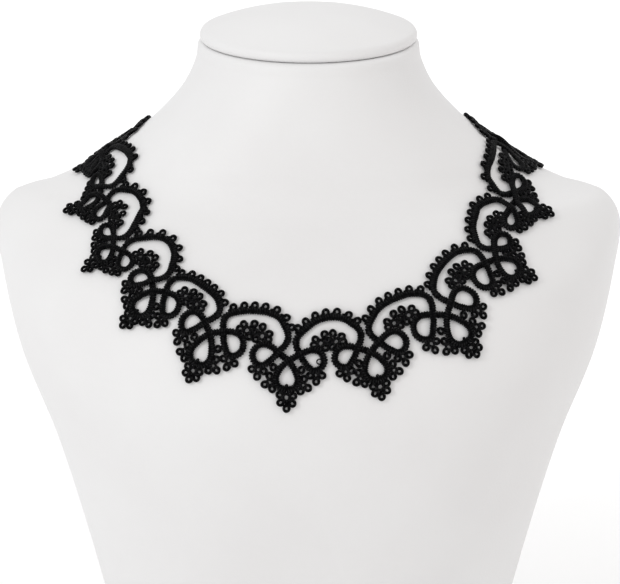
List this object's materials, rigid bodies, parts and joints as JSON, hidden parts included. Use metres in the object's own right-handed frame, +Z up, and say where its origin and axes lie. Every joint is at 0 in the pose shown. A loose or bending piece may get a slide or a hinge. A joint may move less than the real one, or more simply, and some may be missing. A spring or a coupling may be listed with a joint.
{
  "type": "tatted lace necklace on a neck bust",
  "caption": "Openwork collar necklace of black tatted cotton cord, a row of arches and three-lobed motifs edged with picots, worn by a plain white neck bust.",
  "frame": {"origin": "middle of the box at the height of the bust's flat base", "axes": "+Z up from the table, -Y towards the front of the bust, +X to its right as seen in the picture"},
  "size_m": [0.2438, 0.1492, 0.2668],
  "materials": {
    "leatherette": "matt",
    "cotton": "matt",
    "clasp_metal": "satin"
  },
  "bodies": {
    "root": {"bust_body": "leatherette", "neck_cap": "leatherette", "trefoil_c": "cotton", "trefoil_l1": "cotton", "trefoil_l2": "cotton", "trefoil_l3": "cotton", "trefoil_l4": "cotton", "trefoil_l5": "cotton", "trefoil_l6": "cotton", "trefoil_r1": "cotton", "trefoil_r2": "cotton", "trefoil_r3": "cotton", "trefoil_r4": "cotton", "trefoil_r5": "cotton", "trefoil_r6": "cotton", "arch_l1": "cotton", "arch_l2": "cotton", "arch_l3": "cotton", "arch_l4": "cotton", "arch_l5": "cotton", "arch_l6": "cotton", "arch_r1": "cotton", "arch_r2": "cotton", "arch_r3": "cotton", "arch_r4": "cotton", "arch_r5": "cotton", "arch_r6": "cotton", "tie_left": "cotton", "tie_right": "cotton", "clasp": "clasp_metal"}
  },
  "joints": []
}
